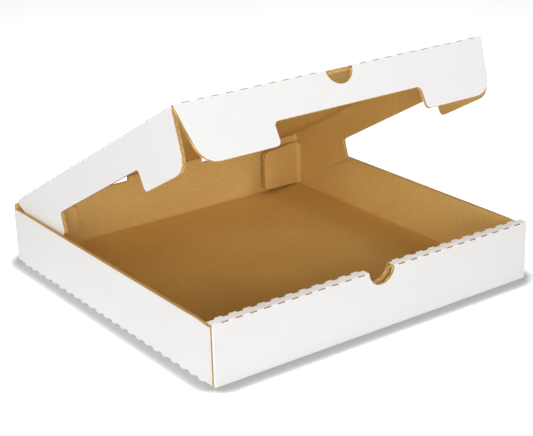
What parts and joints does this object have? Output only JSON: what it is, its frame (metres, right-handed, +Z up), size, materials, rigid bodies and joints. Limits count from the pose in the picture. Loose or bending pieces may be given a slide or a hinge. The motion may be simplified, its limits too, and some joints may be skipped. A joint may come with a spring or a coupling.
{
  "type": "pizza box",
  "caption": "Folded corrugated board take-away box: shallow square tray with a rolled front wall and a hinged lid with tuck flaps, standing half open.",
  "frame": {"origin": "centre of the tray's underside, on the table", "axes": "+X to the box's right seen from its front, +Y to the hinge at the back, +Z up"},
  "size_m": [0.3174, 0.3174, 0.2024],
  "materials": {
    "white_kraft_board": "matt white liner outside, brown kraft liner inside"
  },
  "bodies": {
    "tray": {"tray": "white_kraft_board"},
    "lid": {"lid": "white_kraft_board"},
    "lid_front_flap": {"lid_front_flap": "white_kraft_board"},
    "lid_left_flap": {"lid_left_flap": "white_kraft_board"},
    "lid_right_flap": {"lid_right_flap": "white_kraft_board"},
    "rear_left_flap": {"rear_left_flap": "white_kraft_board"},
    "rear_right_flap": {"rear_right_flap": "white_kraft_board"}
  },
  "joints": [
    {"name": "lid_hinge", "type": "hinge", "parent": "tray", "child": "lid", "pos_m": [0, 0.15725, 0.0548], "axis": [-1, 0, 0], "range_deg": [-29, 150]},
    {"name": "front_flap_fold", "type": "hinge", "parent": "lid", "child": "lid_front_flap", "pos_m": [0, -0.10584, 0.20063], "axis": [-1, 0, 0], "range_deg": [0, 90]},
    {"name": "left_flap_fold", "type": "hinge", "parent": "lid", "child": "lid_left_flap", "pos_m": [-0.1519, 0.15776, 0.05252], "axis": [0.0161, -0.8745, 0.4847], "range_deg": [0, 80]},
    {"name": "right_flap_fold", "type": "hinge", "parent": "lid", "child": "lid_right_flap", "pos_m": [0.1519, 0.15776, 0.05252], "axis": [0.0161, 0.8745, -0.4847], "range_deg": [0, 80]},
    {"name": "rear_left_fold", "type": "hinge", "parent": "tray", "child": "rear_left_flap", "pos_m": [-0.1555, 0.1525, 0.025], "axis": [0, 0, -1], "range_deg": [-22, 30]},
    {"name": "rear_right_fold", "type": "hinge", "parent": "tray", "child": "rear_right_flap", "pos_m": [0.1555, 0.1525, 0.025], "axis": [0, 0, 1], "range_deg": [-12, 30]}
  ]
}
